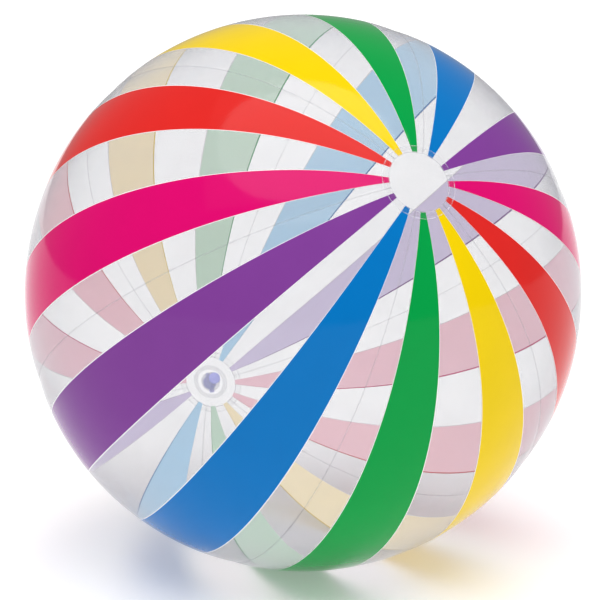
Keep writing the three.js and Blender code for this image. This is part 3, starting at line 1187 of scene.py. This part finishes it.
def stage_world(stage):
    """Even light from all sides, and a white backdrop that only the camera sees."""
    world = bpy.data.worlds.new("studio")
    world.use_nodes = True
    nodes = Nodes(world.node_tree)
    kind = "ShaderNodeBackground"
    glow = nodes.add(kind, {}, {"Color": WHITE, "Strength": stage.world_light})
    backdrop = nodes.add(kind, {}, {"Color": WHITE, "Strength": stage.backdrop})
    seen = nodes.add("ShaderNodeLightPath", {}, {}, "Is Camera Ray")
    choice = nodes.add("ShaderNodeMixShader", {}, {0: seen, 1: glow, 2: backdrop})
    nodes.fill(world.node_tree.nodes["World Output"].inputs["Surface"], choice)
    bpy.context.scene.world = world
    bpy.context.scene.view_settings.view_transform = "Standard"


# ---------------------------------------------------------------- operators


class BEACHBALL_OT_panels(bpy.types.Operator):
    """Add the six printed film panels"""

    bl_idname = "beachball.panels"
    bl_label = "Film panels"

    def execute(self, context):
        for number in range(PANELS):
            panel(number, context.scene.beach_ball)
        return {"FINISHED"}


class BEACHBALL_OT_seams(bpy.types.Operator):
    """Add the narrow weld over each seam"""

    bl_idname = "beachball.seams"
    bl_label = "Seam welds"

    def execute(self, context):
        for number in range(PANELS):
            seam_weld(number, context.scene.beach_ball)
        return {"FINISHED"}


class BEACHBALL_OT_caps(bpy.types.Operator):
    """Add the film caps over the two poles"""

    bl_idname = "beachball.caps"
    bl_label = "Pole caps"

    def execute(self, context):
        ball = context.scene.beach_ball
        hole = context.scene.beach_ball_valve.cap_hole
        pole_cap("plain_cap", "plain_pole_cap", 0, 1, ball)
        pole_cap("valve_cap", "valve_pole_cap", hole, -1, ball)
        return {"FINISHED"}


class BEACHBALL_OT_valve_base(bpy.types.Operator):
    """Add the valve's flange and its soft cone"""

    bl_idname = "beachball.valve_base"
    bl_label = "Flange and cone"

    def execute(self, context):
        valve_flange(context.scene.beach_ball_valve)
        valve_cone(context.scene.beach_ball_valve)
        return {"FINISHED"}


class BEACHBALL_OT_stem(bpy.types.Operator):
    """Add the stem with its lip"""

    bl_idname = "beachball.stem"
    bl_label = "Stem"

    def execute(self, context):
        valve_stem(context.scene.beach_ball_valve)
        return {"FINISHED"}


class BEACHBALL_OT_stopper(bpy.types.Operator):
    """Add the stopper and the strap that holds it"""

    bl_idname = "beachball.stopper"
    bl_label = "Stopper and strap"

    def execute(self, context):
        valve_stopper(context.scene.beach_ball_valve)
        stopper_strap(context.scene.beach_ball_valve)
        return {"FINISHED"}


class BEACHBALL_OT_flap(bpy.types.Operator):
    """Add the check flap and the tab that holds it"""

    bl_idname = "beachball.flap"
    bl_label = "Check flap"

    def execute(self, context):
        valve = context.scene.beach_ball_valve
        flap_disc(valve, "flap", "check_flap", "flap", False)
        flap_disc(valve, "flap_tab", "flap_weld_tab", "stem", True)
        return {"FINISHED"}


class BEACHBALL_OT_stage(bpy.types.Operator):
    """Add the floor, the soft studio light and the camera"""

    bl_idname = "beachball.stage"
    bl_label = "Stage"

    def execute(self, context):
        stage = context.scene.beach_ball_stage
        stage_floor(stage)
        stage_world(stage)
        stage_lamps(stage)
        stage_camera(stage)
        return {"FINISHED"}


class BEACHBALL_PT_sidebar(bpy.types.Panel):
    """The beach ball's operators and its sizes"""

    bl_idname = "BEACHBALL_PT_sidebar"
    bl_label = "Beach ball"
    bl_space_type = "VIEW_3D"
    bl_region_type = "UI"
    bl_category = "Beach ball"

    def draw(self, context):
        column = self.layout.column()
        for operator in BUILD_ORDER:
            column.operator(operator.bl_idname)
        for group_name in GROUPS:
            group = getattr(context.scene, group_name)
            box = self.layout.box()
            for key in group.bl_rna.properties.keys():
                if key not in ("rna_type", "name"):
                    box.prop(group, key)


BUILD_ORDER = (
    BEACHBALL_OT_panels,
    BEACHBALL_OT_seams,
    BEACHBALL_OT_caps,
    BEACHBALL_OT_valve_base,
    BEACHBALL_OT_stem,
    BEACHBALL_OT_stopper,
    BEACHBALL_OT_flap,
    BEACHBALL_OT_stage,
)
GROUPS = {
    "beach_ball": BallSizes,
    "beach_ball_valve": ValveSizes,
    "beach_ball_colours": BallColours,
    "beach_ball_stage": StageSettings,
}


def register():
    for cls in (*GROUPS.values(), *BUILD_ORDER, BEACHBALL_PT_sidebar):
        bpy.utils.register_class(cls)
    for name, group in GROUPS.items():
        setattr(bpy.types.Scene, name, bpy.props.PointerProperty(type=group))


def unregister():
    for name in GROUPS:
        delattr(bpy.types.Scene, name)
    for cls in reversed((*GROUPS.values(), *BUILD_ORDER, BEACHBALL_PT_sidebar)):
        bpy.utils.unregister_class(cls)


def main():
    register()
    bpy.ops.beachball.panels()
    bpy.ops.beachball.seams()
    bpy.ops.beachball.caps()
    bpy.ops.beachball.valve_base()
    bpy.ops.beachball.stem()
    bpy.ops.beachball.stopper()
    bpy.ops.beachball.flap()
    bpy.ops.beachball.stage()


if __name__ == "__main__":
    main()
